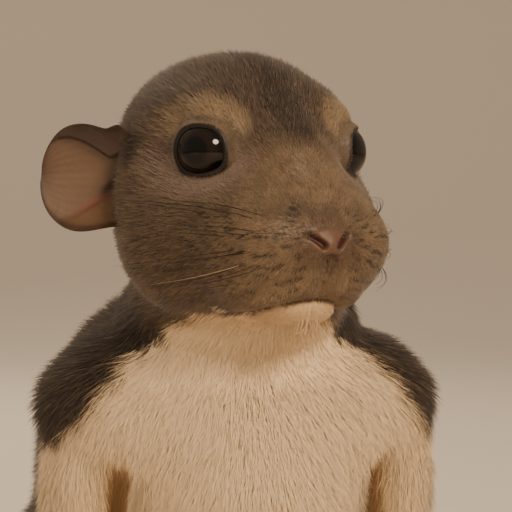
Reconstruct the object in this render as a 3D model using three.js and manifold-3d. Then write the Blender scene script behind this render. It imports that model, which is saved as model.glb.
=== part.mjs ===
// A life-size chinchilla, sitting alert on its haunches with its forepaws on the floor and its head
// turned a little to its left. Millimetres, +Z up. The animal faces -Y, and its left side is +X.
// The origin is on the floor, under the middle of the whole animal.
//
// The fleshy parts are clay-like forms: each is the smooth blend of a few named ellipsoids ("masses").
// Legs, toes and the tail's core are lofts along a curve. The outer surface is that of the coat.
import * as THREE from "three";
import { mergeVertices } from "three/addons/utils/BufferGeometryUtils.js";
import Module from "manifold-3d";

const wasm = await Module();
wasm.setup();

// Driving dimensions
const CROWN_HEIGHT = 167; // floor to the top of the head
const HEAD_LENGTH = 74; // nose to the back of the head
const HEAD_WIDTH = 61.5; // across the cheeks
const SHOULDER_WIDTH = 102;
const EYE_RADIUS = 7.2;
const EAR_REACH = 20.6; // from the ear's sunken root to its rim
const FOOT_LENGTH = 53;
const TAIL_CORE = 8.5; // radius of the tail under its long hair, at the rump
const GAP = 0.3; // between parts that meet
const CUTTER_GROWTH = 0.5; // of a coarser copy, whose flats lie inside the true surface
const LEFT = 1;
const RIGHT = -1;

// The head has its own axes: x to its left, -y to its nose, z up, about the middle of the skull.
const HEAD_UP = 32.5; // from the middle of the head to the crown
const HEAD_AT = new THREE.Vector3(-2, -16, CROWN_HEIGHT - HEAD_UP);
const HEAD_YAW = THREE.MathUtils.degToRad(17);
const MARCH_FROM = 90; // rays start this far out
const MARCH_STEPS = 80;
const MARCH_CAUTION = 0.85; // the share of the distance found that a ray walks at a time
const CLOSE = 0.003; // a ray that is this near has arrived

const vec = (x, y, z) => new THREE.Vector3(x, y, z);
const mirrored = (list, side) => [list[0] * side, list[1], list[2]];

// About how far a point is from an ellipsoid, negative inside.
function fromEllipsoid(p, { at, radii }) {
  const x = p.x - at[0];
  const y = p.y - at[1];
  const z = p.z - at[2];
  const near = Math.hypot(x / radii[0], y / radii[1], z / radii[2]);
  const slope = Math.hypot(x / radii[0] ** 2, y / radii[1] ** 2, z / radii[2] ** 2);
  return slope < 1e-9 ? -Math.min(...radii) : (near * (near - 1)) / slope;
}

// The same for several masses, run together as soft flesh is.
function fromMasses(p, masses, blend) {
  let d = fromEllipsoid(p, masses[0]);
  for (const mass of masses.slice(1)) {
    const other = fromEllipsoid(p, mass);
    const h = Math.max(blend - Math.abs(d - other), 0);
    d = Math.min(d, other) - (h * h) / (4 * blend);
  }
  return d;
}

// Walks from start along a unit direction until it meets the masses, and returns that point.
function meet(start, direction, masses, blend, grow = 0) {
  const p = start.clone();
  for (let step = 0; step < MARCH_STEPS; step++) {
    const d = fromMasses(p, masses, blend) - grow;
    if (d < CLOSE) break;
    p.addScaledVector(direction, d * MARCH_CAUTION);
  }
  return p;
}

// A solid form: a ball of many facets whose corners are pulled in until they lie on the masses.
function sculpt({ masses, centre, detail, blend }, grow = 0) {
  const geometry = bare(new THREE.IcosahedronGeometry(1, detail));
  const corners = geometry.getAttribute("position");
  const out = vec(0, 0, 0);
  const inward = vec(0, 0, 0);
  for (let i = 0; i < corners.count; i++) {
    out.fromBufferAttribute(corners, i).normalize();
    const start = vec(...centre).addScaledVector(out, MARCH_FROM);
    inward.copy(out).negate();
    const p = meet(start, inward, masses, blend, grow);
    corners.setXYZ(i, p.x, p.y, p.z);
  }
  return solid(geometry);
}

// A geometry with its position alone, its shared corners merged.
function bare(geometry) {
  const made = new THREE.BufferGeometry();
  made.setAttribute("position", geometry.getAttribute("position"));
  if (geometry.index) made.setIndex(geometry.index);
  return mergeVertices(made, 1e-4);
}

function solid(geometry) {
  const merged = bare(geometry);
  const mesh = new wasm.Mesh({
    numProp: 3,
    vertProperties: new Float32Array(merged.getAttribute("position").array),
    triVerts: new Uint32Array(merged.index.array),
  });
  return new wasm.Manifold(mesh);
}

// Only the largest closed surface, which fills sealed hollows and drops loose scraps.
function largest(made) {
  return made.decompose().reduce((a, b) => (b.volume() > a.volume() ? b : a));
}

const join = (solids) => solids.reduce((a, b) => a.add(b));
const cut = (made, ...cutters) => cutters.reduce((a, b) => a.subtract(b), made);

// A closed loft along a curve: sections(t) gives [half width, half height] at t from 0 to 1, and the
// ends close on a point. "side" is the direction of the half width.
function loft({ points, sections, side, stations = 12, sides = 14 }, grow = 0) {
  const curve = new THREE.CatmullRomCurve3(points.map((p) => vec(...p)));
  const positions = [];
  const index = [];
  const ring = (t, width, height) => {
    const at = curve.getPointAt(t);
    const along = curve.getTangentAt(t);
    const across = vec(...side).addScaledVector(along, -vec(...side).dot(along)).normalize();
    const over = vec(0, 0, 0).crossVectors(along, across);
    for (let j = 0; j < sides; j++) {
      const angle = (2 * Math.PI * j) / sides;
      const p = at.clone();
      p.addScaledVector(across, Math.cos(angle) * width);
      p.addScaledVector(over, Math.sin(angle) * height);
      positions.push(p.x, p.y, p.z);
    }
  };
  for (let i = 0; i <= stations; i++) {
    const t = i / stations;
    const [width, height] = sections(t);
    ring(t, width + grow, height + grow);
  }
  const first = curve.getPointAt(0).addScaledVector(curve.getTangentAt(0), -sections(0)[1] * 0.6 - grow);
  const last = curve.getPointAt(1).addScaledVector(curve.getTangentAt(1), sections(1)[1] * 0.6 + grow);
  positions.push(first.x, first.y, first.z, last.x, last.y, last.z);
  const firstPole = (stations + 1) * sides;
  for (let j = 0; j < sides; j++) {
    const next = (j + 1) % sides;
    for (let i = 0; i < stations; i++) {
      const a = i * sides;
      const b = a + sides;
      index.push(a + j, a + next, b + next, a + j, b + next, b + j);
    }
    const end = stations * sides;
    index.push(firstPole, next, j, firstPole + 1, end + j, end + next);
  }
  const geometry = new THREE.BufferGeometry();
  geometry.setAttribute("position", new THREE.Float32BufferAttribute(positions, 3));
  geometry.setIndex(index);
  return solid(geometry);
}

// Sizes along a loft, from a few [t, width, height] stops, eased between them.
function along(stops) {
  return (t) => {
    const next = Math.max(1, stops.findIndex((stop) => stop[0] >= t));
    const [t0, w0, h0] = stops[next - 1];
    const [t1, w1, h1] = stops[next];
    const share = THREE.MathUtils.smoothstep(t, t0, t1);
    return [w0 + (w1 - w0) * share, h0 + (h1 - h0) * share];
  };
}

function ball(at, radius, detail) {
  const geometry = new THREE.IcosahedronGeometry(radius, detail);
  return solid(geometry.translate(at.x, at.y, at.z));
}

// Colours
const PALE = 0xd8b48a;
const GREY = 0x6b5340;
const SKIN = 0x9a6a52;
const EYE_BLACK = 0x080505;

function meshOf(name, made, color, roughness = 0.9) {
  const { vertProperties, triVerts, numProp, numVert } = largest(made).getMesh();
  const positions = new Float32Array(numVert * 3);
  for (let i = 0; i < numVert; i++) {
    positions.set(vertProperties.subarray(i * numProp, i * numProp + 3), i * 3);
  }
  const geometry = new THREE.BufferGeometry();
  geometry.setAttribute("position", new THREE.BufferAttribute(positions, 3));
  geometry.setIndex(new THREE.BufferAttribute(triVerts, 1));
  geometry.computeVertexNormals();
  const material = new THREE.MeshStandardMaterial({ color, roughness, metalness: 0 });
  const mesh = new THREE.Mesh(geometry, material);
  mesh.name = name;
  return mesh;
}

// Head, in its own axes
const pair = (at, radii) => [LEFT, RIGHT].map((side) => ({ at: mirrored(at, side), radii }));
const headForm = {
  masses: [
    { at: [0, 6, 5], radii: [28.8, 28, HEAD_UP - 5] }, // skull
    ...pair([7.5, 11, 13.5], [14, 15, 14.5]), // back of the crown
    ...pair([15, -1, -9], [HEAD_WIDTH / 2 - 15, 23, 18.5]), // cheeks
    { at: [0, -17, -11], radii: [20, 20.5, 16.5] }, // muzzle
    { at: [0, -14.5, 4], radii: [13, 15.5, 14] }, // bridge of the nose
    ...pair([10, -26, -13.5], [11.5, 11.5, 11.5]), // whisker pads
    { at: [0, -18, -20.5], radii: [14, 14, 8.5] }, // chin
    { at: [0, 3, -16], radii: [24, 24, 13] }, // jaw and throat
    ...pair([14, -8.5, 16], [7.5, 9.5, 6]), // brows
  ],
  centre: [0, -6, -2],
  detail: 9,
  blend: 7,
};
const NOSE_AT = vec(0, -HEAD_LENGTH / 2 - 1.2, -11);

// The eyes look out to the sides and a little forward.
const eyeAt = (side) => vec(16.4 * side, -13.2, 8.8);
const eyeAxis = (side) => vec(0.8 * side, -0.58, 0.12).normalize();
const LID_THICKNESS = 1.0;
const LID_OPENING = [6.7, 5.9]; // half the slit's length and height

// The almond between the lids, from the eye's middle outwards.
function lidSlit(side) {
  const [length, height] = LID_OPENING;
  const almond = new THREE.Shape();
  almond.moveTo(-length, 0);
  almond.bezierCurveTo(-length * 0.75, height * 1.25, length * 0.6, height * 1.4, length, -0.4);
  almond.bezierCurveTo(length * 0.6, -height * 1.25, -length * 0.7, -height * 1.3, -length, 0);
  const depth = 2 * EYE_RADIUS;
  const geometry = new THREE.ExtrudeGeometry(almond, { depth, bevelEnabled: false, curveSegments: 6 });
  const turn = new THREE.Matrix4().lookAt(eyeAxis(side), vec(0, 0, 0), vec(0, 0, 1));
  return solid(geometry.applyMatrix4(turn).translate(eyeAt(side).x, eyeAt(side).y, eyeAt(side).z));
}

// A thin round groove along points that are dropped onto the head's front.
function groove(points, radius) {
  const toBack = vec(0, 1, 0);
  const onFace = points.map(([x, z]) => {
    const p = meet(vec(x, -60, z), toBack, headForm.masses, headForm.blend);
    return [p.x, p.y, p.z];
  });
  const sections = () => [radius, radius];
  return loft({ points: onFace, sections, side: [0, -1, 0.3], stations: 9, sides: 4 });
}

const MOUTH_Z = -24.2; // where the lips meet in the middle
const mouthPoints = [-13, -9, -4.5, 0, 4.5, 9, 13].map((x) => [x, MOUTH_Z - 0.018 * x * x]);
const philtrumPoints = [-14.5, -17, -20, MOUTH_Z].map((z) => [0, z]);

// One comma-shaped nostril, whose inner end is the lower one.
function nostril(side) {
  const form = new THREE.SphereGeometry(1, 9, 6).scale(1.0, 2.4, 2.3);
  form.rotateY(side * 0.95).translate(side * 3.0, NOSE_AT.y - 0.9, NOSE_AT.z + 0.4);
  return solid(form);
}

function noseForm() {
  const pad = new THREE.SphereGeometry(1, 14, 9).scale(7.2, 3.4, 4.6);
  return solid(pad.translate(NOSE_AT.x, NOSE_AT.y + 2.0, NOSE_AT.z));
}

// Ears: a cup that is most bent at the skull and opens out to a round leaf.
const EAR_THICKNESS = 1.2;
const EAR_ROOT = [24.0, 11.5, 2.4];
const EAR_OUT = [0.82, 0.56, 0.08]; // from the root to the rim
const EAR_UP = [-0.1, 0.0, 1.0];
function earForm(side) {
  const rows = 8;
  const columns = 10;
  const out = vec(...EAR_OUT).normalize();
  const up = vec(...EAR_UP);
  up.addScaledVector(out, -up.dot(out)).normalize();
  const front = vec(0, 0, 0).crossVectors(up, out).negate();
  const root = vec(...EAR_ROOT);
  // u runs from the root to the rim, v from the lower edge to the upper one.
  const place = (row, v, layer) => {
    const u = 1 - (1 - row) ** 1.7;
    const halfWidth = 13.0 + 1.2 * THREE.MathUtils.smoothstep(u, 0, 0.6);
    const round = (1 - Math.max(0, (u - 0.3) / 0.705) ** 3) ** 0.5;
    const arc = Math.max(halfWidth * round, 1.5);
    const bend = 1.05 - 0.4 * THREE.MathUtils.smoothstep(u, 0, 0.7);
    const radius = arc / bend;
    // The upper edge folds over to the front.
    const fold = 3.2 * Math.max(0, v - 0.45) ** 2 * Math.sin(Math.PI * Math.min(1, u * 1.1));
    const turned = bend * v;
    const p = root.clone().addScaledVector(out, EAR_REACH * u);
    const thick = radius + layer * EAR_THICKNESS * 0.5 * (1 - 0.35 * Math.abs(v));
    p.addScaledVector(up, thick * Math.sin(turned) - fold * 0.6);
    p.addScaledVector(front, radius - thick * Math.cos(turned) + 2.5 * u * u + fold * 2);
    return [p.x * side, p.y, p.z];
  };
  const positions = [];
  for (const layer of [1, -1]) {
    for (let i = 0; i <= rows; i++) {
      for (let j = 0; j <= columns; j++) {
        positions.push(...place(i / rows, (2 * j) / columns - 1, layer));
      }
    }
  }
  const wide = columns + 1;
  const inner = (rows + 1) * wide;
  const index = [];
  // A mirrored ear turns its faces the other way round.
  const face = (a, b, c) => (side === RIGHT ? index.push(a, c, b) : index.push(a, b, c));
  const quad = (a, b, c, d) => {
    face(a, b, c);
    face(a, c, d);
  };
  for (let i = 0; i < rows; i++) {
    for (let j = 0; j < columns; j++) {
      const a = i * wide + j;
      quad(a, a + 1, a + wide + 1, a + wide);
      // The same diagonal on the other face
      face(inner + a, inner + a + wide + 1, inner + a + 1);
      face(inner + a, inner + a + wide, inner + a + wide + 1);
    }
  }
  for (let j = 0; j < columns; j++) {
    const end = rows * wide + j;
    quad(j + 1, j, inner + j, inner + j + 1);
    quad(end, end + 1, inner + end + 1, inner + end);
  }
  for (let i = 0; i < rows; i++) {
    const a = i * wide;
    const b = a + columns;
    quad(a, a + wide, inner + a + wide, inner + a);
    quad(b + wide, b, inner + b, inner + b + wide);
  }
  const geometry = new THREE.BufferGeometry();
  geometry.setAttribute("position", new THREE.Float32BufferAttribute(positions, 3));
  geometry.setIndex(index);
  return solid(geometry);
}

// Head group
const headGroup = new THREE.Group();
headGroup.position.copy(HEAD_AT);
headGroup.rotation.z = HEAD_YAW;
headGroup.updateMatrix();

const headGrown = sculpt({ ...headForm, detail: 6 }, CUTTER_GROWTH);
const lidBulges = [LEFT, RIGHT].map((side) => ball(eyeAt(side), EYE_RADIUS + GAP + LID_THICKNESS, 4));
const sockets = [LEFT, RIGHT].map((side) => ball(eyeAt(side), EYE_RADIUS + GAP, 3));
const headSolid = cut(
  join([sculpt(headForm), noseForm(), ...lidBulges]),
  ...sockets,
  lidSlit(LEFT),
  lidSlit(RIGHT),
  nostril(LEFT),
  nostril(RIGHT),
  groove(mouthPoints, 0.75),
  groove(philtrumPoints, 0.55),
);
headGroup.add(meshOf("head", headSolid, GREY));
for (const [word, side] of [["left", LEFT], ["right", RIGHT]]) {
  headGroup.add(meshOf(`ear_${word}`, cut(earForm(side), headGrown), SKIN, 0.7));
  headGroup.add(meshOf(`eye_${word}`, ball(eyeAt(side), EYE_RADIUS, 3), EYE_BLACK, 0.08));
}
const headCutter = headGrown.transform(headGroup.matrix.toArray());

// Body, in the animal's axes
const neckForm = {
  masses: [
    { at: [0, 1, 105], radii: [30, 28, 17] },
    { at: [0, 14, 109], radii: [25, 26, 17] },
  ],
  centre: [0, 4, 106],
  detail: 3,
  blend: 8,
};
const torsoForm = {
  masses: [
    { at: [0, 3, 83], radii: [SHOULDER_WIDTH / 2, 31, 25] }, // shoulders
    { at: [0, 30, 67], radii: [43, 36, 38] }, // ribs
    { at: [0, -3, 64], radii: [29, 31, 38] }, // breast
    { at: [0, 28, 84], radii: [36, 38, 30] }, // withers
    { at: [0, 52, 62], radii: [43, 50, 46] }, // back and loins
    { at: [0, 62, 38], radii: [43, 46, 40] }, // rump
    { at: [0, 22, 32], radii: [33, 40, 31] }, // belly
  ],
  centre: [0, 30, 62],
  detail: 6,
  blend: 10,
};

const thighForm = (side) => ({
  masses: [
    { at: [33 * side, 46, 30], radii: [19, 37, 28] },
    { at: [35 * side, 26, 23], radii: [14, 24, 20] }, // knee
  ],
  centre: [34 * side, 38, 27],
  detail: 4,
  blend: 8,
});

const foreleg = (side) => ({
  points: [
    [36 * side, -2, 84],
    [39.5 * side, 0, 68],
    [39 * side, 1, 50],
    [33 * side, -6, 30],
    [26 * side, -15, 13],
  ],
  sections: along([
    [0, 11, 13],
    [0.25, 10, 12.5],
    [0.5, 8.6, 10.5],
    [0.8, 6.2, 7],
    [1, 5.2, 5.4],
  ]),
  side: [1, 0, 0],
  stations: 10,
  sides: 16,
});

// A foot: a sole and four toes, each with a small claw. Toes fan out from the front of the sole.
function footForm(sizes, side, grow = 0) {
  const { width, height, toes, toeLength, toeRadius, clawLength, fan } = sizes;
  const heelAt = mirrored(sizes.heel, side);
  const frontAt = mirrored(sizes.ball, side);
  const middle = heelAt.map((value, i) => (value + frontAt[i]) / 2);
  const soleForm = {
    points: [heelAt, middle, frontAt],
    sections: along([
      [0, width * 0.7, height * 0.9],
      [0.5, width * 0.85, height],
      [1, width, height * 0.85],
    ]),
    side: [1, 0, 0],
    stations: 4,
    sides: 8,
  };
  const forward = vec(...frontAt).sub(vec(...heelAt)).setZ(0).normalize();
  const across = vec(-forward.y, forward.x, 0);
  const pieces = [loft(soleForm, grow)];
  for (let toe = 0; toe < toes; toe++) {
    const spread = toe / (toes - 1) - 0.5;
    const length = toeLength * (1 - 0.9 * spread * spread - 0.12 * spread * side);
    const aim = forward.clone().addScaledVector(across, -spread * fan).normalize();
    const root = vec(...frontAt).addScaledVector(across, -spread * 2 * (width - toeRadius * 0.7));
    const point = (share, z) => [root.x + aim.x * length * share, root.y + aim.y * length * share, z];
    const acrossToe = [across.x, across.y, 0];
    const toeForm = {
      points: [
        point(-0.3, toeRadius * 0.9),
        point(0.45, toeRadius * 1.15),
        point(0.9, toeRadius * 0.65),
      ],
      sections: along([
        [0, toeRadius, toeRadius],
        [0.6, toeRadius * 0.95, toeRadius * 0.95],
        [1, toeRadius * 0.7, toeRadius * 0.7],
      ]),
      side: acrossToe,
      stations: 3,
      sides: 6,
    };
    const clawForm = {
      points: [
        point(0.85, toeRadius * 0.95),
        point(1, toeRadius * 0.9),
        point(1 + clawLength / length, toeRadius * 0.35),
      ],
      sections: along([
        [0, 0.75, 0.9],
        [1, 0.25, 0.3],
      ]),
      side: acrossToe,
      stations: 1,
      sides: 4,
    };
    pieces.push(loft(toeForm, grow), loft(clawForm));
  }
  return join(pieces);
}

const FOREPAW = {
  heel: [25.5, -12, 4.4],
  ball: [23.5, -24, 3.1],
  width: 5.4,
  height: 4.6,
  toes: 4,
  toeLength: 9,
  toeRadius: 1.75,
  clawLength: 1.8,
  fan: 0.55,
};
const HINDFOOT = {
  heel: [38, 42, 4.6],
  ball: [35.5, 42 - FOOT_LENGTH * 0.72, 3.7],
  width: 7.0,
  height: 5.4,
  toes: 4,
  toeLength: 14,
  toeRadius: 2.3,
  clawLength: 2.4,
  fan: 0.3,
};

// Tail: a core that leaves the rump, lies on the floor and lifts at its end, set with long locks
const TAIL_POINTS = [
  [0, 84, 26],
  [0, 102, 18.5],
  [2, 119, 10.5],
  [8, 136, 6.5],
  [18, 151, 7],
  [29, 163, 11],
];
const TAIL_PARTS = { tail_root: [0.2, 0.55], tail_brush: [0.55, 1] };
const tailCurve = new THREE.CatmullRomCurve3(TAIL_POINTS.map((p) => vec(...p)));

// A repeatable random number from 0 to 1 for each whole number.
const chance = (n) => {
  const wave = Math.sin(n * 12.9898 + 4.1414) * 43758.5453;
  return wave - Math.floor(wave);
};

// The core's radius, from the rump to the tip.
const coreRadius = (t) => TAIL_CORE * (1 - 0.45 * t);

// One flat, tapered lock that leaves the core at an angle and bends back along the tail. Those on
// top are the longest and stand up most, and those below lie on the floor.
function lock(t, angle, seed) {
  const at = tailCurve.getPointAt(t);
  const back = tailCurve.getTangentAt(t);
  const across = vec(1, 0, 0).addScaledVector(back, -back.x).normalize();
  const over = vec(0, 0, 0).crossVectors(across, back).normalize();
  const out = across.clone().multiplyScalar(Math.cos(angle)).addScaledVector(over, Math.sin(angle));
  const upward = Math.max(0, Math.sin(angle));
  const downward = Math.max(0, -Math.sin(angle));
  const length = (24 + 6 * upward - 5 * downward) * (0.85 + 0.3 * chance(seed));
  const lift = 0.4 + 0.16 * upward - 0.3 * downward + 0.16 * (chance(seed + 7) - 0.5);
  const sway = 0.22 * (chance(seed + 13) - 0.5);
  const side = vec(0, 0, 0).crossVectors(back, out);
  const point = (share, rise) => {
    const p = at.clone().addScaledVector(out, coreRadius(t) * 0.6 + rise);
    p.addScaledVector(back, length * share).addScaledVector(side, length * sway * share * share);
    return [p.x, p.y, Math.max(p.z, 0.7)];
  };
  return loft({
    points: [point(0, 0), point(0.4, length * 0.62 * lift), point(1, length * lift)],
    sections: along([
      [0, 3.0, 1.3],
      [0.45, 3.5, 1.0],
      [1, 0.4, 0.3],
    ]),
    side: [side.x, side.y, side.z],
    stations: 3,
    sides: 4,
  });
}

const LOCKS_ROUND = 7;
const LOCK_STEP = 0.11; // from ring to ring, as a share of the tail
function tailPart([from, to]) {
  const points = [0, 1, 2, 3, 4].map((i) => {
    const p = tailCurve.getPointAt(from + ((to - from) * i) / 4);
    return [p.x, p.y, p.z];
  });
  const core = loft({
    points,
    sections: (t) => {
      const radius = coreRadius(from + (to - from) * t);
      return [radius, radius];
    },
    side: [1, 0, 0],
    stations: 8,
    sides: 12,
  });
  const pieces = [core];
  for (let ring = Math.ceil(from / LOCK_STEP); ring * LOCK_STEP < to; ring++) {
    for (let i = 0; i < LOCKS_ROUND; i++) {
      const angle = (2 * Math.PI * (i + 0.5 * (ring % 2))) / LOCKS_ROUND + 0.15;
      pieces.push(lock(ring * LOCK_STEP, angle, ring * 31 + i * 3));
    }
  }
  return join(pieces);
}

// Everything under the floor is cut away, which leaves small flats at one level.
const BLOCK = 400; // a cutting block, larger than the animal
const under = solid(new THREE.BoxGeometry(BLOCK, BLOCK, BLOCK).translate(0, 0, -BLOCK / 2));

// The body's parts by name, each with its colour. A part stays a solid until its neighbours are cut
// from it.
const body = {};
const torsoGrown = sculpt(torsoForm, GAP);
const neckGrown = sculpt(neckForm, GAP);
body.neck = [cut(sculpt(neckForm), headCutter), PALE];
const torsoCutters = [headCutter, neckGrown];
for (const [word, side] of [["left", LEFT], ["right", RIGHT]]) {
  const paw = footForm(FOREPAW, side);
  const pawGrown = footForm(FOREPAW, side, GAP);
  const foot = footForm(HINDFOOT, side);
  const footGrown = footForm(HINDFOOT, side, GAP);
  const leg = loft(foreleg(side));
  const legGrown = loft(foreleg(side), GAP);
  const thigh = sculpt(thighForm(side));
  const thighGrown = sculpt(thighForm(side), GAP);
  body[`forepaw_${word}`] = [paw, PALE];
  body[`foreleg_${word}`] = [cut(leg, pawGrown, neckGrown, headCutter), PALE];
  body[`hind_foot_${word}`] = [cut(foot, pawGrown, legGrown), PALE];
  body[`thigh_${word}`] = [cut(thigh, footGrown, pawGrown, legGrown), GREY];
  torsoCutters.push(pawGrown, footGrown, legGrown, thighGrown);
}
body.torso = [cut(sculpt(torsoForm), ...torsoCutters), GREY];

// The two lengths part at a plane across the core, and a block that starts at it cuts each of them.
const partAt = tailCurve.getPointAt(TAIL_PARTS.tail_brush[0]);
const partAlong = tailCurve.getTangentAt(TAIL_PARTS.tail_brush[0]);
const blockFrom = (start, way) => {
  const block = new THREE.BoxGeometry(BLOCK, BLOCK, BLOCK).translate(0, 0, (BLOCK / 2) * way);
  block.lookAt(partAlong);
  const at = partAt.clone().addScaledVector(partAlong, start);
  return solid(block.translate(at.x, at.y, at.z));
};
body.tail_root = [cut(tailPart(TAIL_PARTS.tail_root), torsoGrown, blockFrom(0, 1)), GREY];
body.tail_brush = [cut(tailPart(TAIL_PARTS.tail_brush), torsoGrown, blockFrom(GAP, -1)), GREY];

const animal = new THREE.Group();
animal.add(headGroup);
for (const [name, [made, color]] of Object.entries(body)) {
  animal.add(meshOf(name, cut(made, under), color));
}

// The origin goes under the middle of the whole animal.
const reach = new THREE.Box3().setFromObject(animal, true);
const middle = reach.getCenter(vec(0, 0, 0));
animal.position.set(-middle.x, -middle.y, 0);

export default animal;
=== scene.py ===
"""The looks of the life-size chinchilla: a skin under a thick plush coat, wet dark eyes, thin cupped
ears, whiskers, claws and a bushy tail. Lengths are in metres; MM turns millimetres into metres.
"""

import math

import bmesh
import bpy
import numpy as np
from mathutils import Matrix, Vector


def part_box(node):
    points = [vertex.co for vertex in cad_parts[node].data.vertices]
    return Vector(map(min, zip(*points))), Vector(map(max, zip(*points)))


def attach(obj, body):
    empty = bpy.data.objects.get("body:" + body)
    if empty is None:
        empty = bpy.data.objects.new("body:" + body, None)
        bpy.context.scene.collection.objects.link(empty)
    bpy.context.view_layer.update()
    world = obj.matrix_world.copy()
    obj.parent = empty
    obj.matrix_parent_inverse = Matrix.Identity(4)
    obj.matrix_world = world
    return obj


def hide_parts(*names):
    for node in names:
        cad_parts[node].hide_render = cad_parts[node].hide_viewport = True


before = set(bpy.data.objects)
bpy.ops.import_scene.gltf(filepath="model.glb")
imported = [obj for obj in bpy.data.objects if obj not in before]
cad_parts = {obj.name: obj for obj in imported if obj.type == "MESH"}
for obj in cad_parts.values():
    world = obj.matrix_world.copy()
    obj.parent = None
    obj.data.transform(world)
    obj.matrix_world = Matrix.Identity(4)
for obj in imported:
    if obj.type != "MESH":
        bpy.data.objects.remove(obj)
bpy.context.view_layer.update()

MM = 0.001
BODY = "root"
SIDES = (("left", 1), ("right", -1))
random = np.random.default_rng(417)

FLESH = ["head", "neck", "torso"]
FLESH += [f"{part}_{word}" for word, _ in SIDES for part in ("foreleg", "forepaw", "thigh", "hind_foot")]
TAIL_NODES = ["tail_root", "tail_brush"]


# Places taken from the frame

def middle(node):
    low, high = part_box(node)
    return (np.array(low) + np.array(high)) / 2


# The animal's own axes: x to its left, -y where its chest faces, z up from the floor, with x 0 at its
# midline and y 0 at its forelegs.
FORELEG_BACK = 13.0 * MM  # how far the forelegs' box reaches behind y 0
LEGS = [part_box("foreleg_left"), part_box("foreleg_right")]
ORIGIN = np.array([(LEGS[0][0][0] + LEGS[1][1][0]) / 2, LEGS[0][1][1] - FORELEG_BACK, 0.0])

# The head's axes start at the middle of the skull, found from the two eyes.
EYE_RADIUS = 7.2 * MM
EYE_IN_HEAD = np.array([16.4, -13.2, 8.8]) * MM
EYES = {word: middle(f"eye_{word}") for word, _ in SIDES}
ACROSS = EYES["left"] - EYES["right"]
HEAD_X = ACROSS / np.linalg.norm(ACROSS)
HEAD_Z = np.array([0.0, 0.0, 1.0])
HEAD_Y = np.cross(HEAD_Z, HEAD_X)
HEAD_AXES = np.array([HEAD_X, HEAD_Y, HEAD_Z])
HEAD_AT = (EYES["left"] + EYES["right"]) / 2 - EYE_IN_HEAD[1] * HEAD_Y - EYE_IN_HEAD[2] * HEAD_Z
NOSE_TIP = np.array([0.0, -40.0, -11.0])  # in the head's axes, in millimetres


def in_head(points):
    """Points in the head's axes, in millimetres."""
    return (np.asarray(points) - HEAD_AT) @ HEAD_AXES.T / MM


def from_head(points):
    """Points of the head's axes, given in millimetres, in the frame."""
    return np.asarray(points) * MM @ HEAD_AXES + HEAD_AT


def in_body(points):
    """Points in the animal's axes, in millimetres."""
    return (np.asarray(points) - ORIGIN) / MM


def smooth(low, high, value):
    """0 below low, 1 above high, eased between them; low may be the larger one."""
    t = np.clip((value - low) / (high - low), 0, 1)
    return t * t * (3 - 2 * t)


def unit(vectors):
    length = np.linalg.norm(vectors, axis=-1, keepdims=True)
    return vectors / np.maximum(length, 1e-12)


def mix(a, b, share):
    """a where share is 0 and b where it is 1; each may be one colour for all points."""
    share = np.asarray(share)[..., None]
    return a * (1 - share) + b * share


def ripple(points, size, seed=0.0):
    """A soft repeatable pattern from -1 to 1 over space, of about that size in millimetres."""
    q = np.asarray(points) / (size * MM) * 2 * math.pi
    a = np.sin(q[:, 0] + 1.7 * np.sin(q[:, 1] * 0.7 + seed) + seed)
    b = np.sin(q[:, 1] * 1.1 + 1.3 * np.sin(q[:, 2] * 0.8 + 2.1 + seed) + 1.9)
    c = np.sin(q[:, 2] * 0.9 + 1.5 * np.sin(q[:, 0] * 0.9 + 4.0) + 3.1 + seed)
    return (a + b + c) / 3


# The tail's route, the same as that of its solids, in the animal's axes
TAIL_ROUTE = np.array([
    [0, 84, 26],
    [0, 102, 18.5],
    [2, 119, 10.5],
    [8, 136, 6.5],
    [18, 151, 7],
    [29, 163, 11],
])
TAIL_SKIN_RADIUS = 4.6 * MM  # at the rump; half of it at the tip


def tail_points(count):
    """Points spread along the tail's route, rounded at its stations."""
    stations = np.linspace(0, 1, len(TAIL_ROUTE))
    dense = np.linspace(0, 1, 200)
    line = np.stack([np.interp(dense, stations, TAIL_ROUTE[:, k]) for k in range(3)], axis=1)
    for _ in range(60):
        line[1:-1] = (line[:-2] + line[2:] + 2 * line[1:-1]) / 4
    reach = np.r_[0, np.cumsum(np.linalg.norm(np.diff(line, axis=0), axis=1))]
    wanted = np.linspace(0, reach[-1], count)
    return np.stack([np.interp(wanted, reach, line[:, k]) for k in range(3)], axis=1) * MM + ORIGIN


TAIL_LINE = tail_points(30)


# Small makers

def mesh_from(made, name):
    mesh = bpy.data.meshes.new(name)
    made.to_mesh(mesh)
    made.free()
    return mesh


def finish_piece(mesh, name, material, replaced=()):
    """Makes a mesh a named object that rides on the animal in place of the solids named."""
    piece = bpy.data.objects.new(name, mesh)
    bpy.context.scene.collection.objects.link(piece)
    mesh.materials.clear()
    mesh.materials.append(material)
    mesh.polygons.foreach_set("use_smooth", [True] * len(mesh.polygons))
    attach(piece, BODY)
    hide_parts(*replaced)
    return piece


def vertex_array(mesh):
    flat = np.empty(len(mesh.vertices) * 3)
    mesh.vertices.foreach_get("co", flat)
    return flat.reshape(-1, 3)


def normal_array(mesh):
    flat = np.empty(len(mesh.vertices) * 3)
    mesh.vertex_normals.foreach_get("vector", flat)
    return flat.reshape(-1, 3)


def set_vertices(mesh, points):
    mesh.vertices.foreach_set("co", np.asarray(points, dtype=np.float32).ravel())
    mesh.update()


def store_colour(mesh, rgb):
    """Keeps a colour for each vertex, which the materials read."""
    layer = mesh.attributes.new("coat", "FLOAT_COLOR", "POINT")
    rgba = np.ones((len(rgb), 4), dtype=np.float32)
    rgba[:, :3] = rgb
    layer.data.foreach_set("color", rgba.ravel())


# Materials

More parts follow.
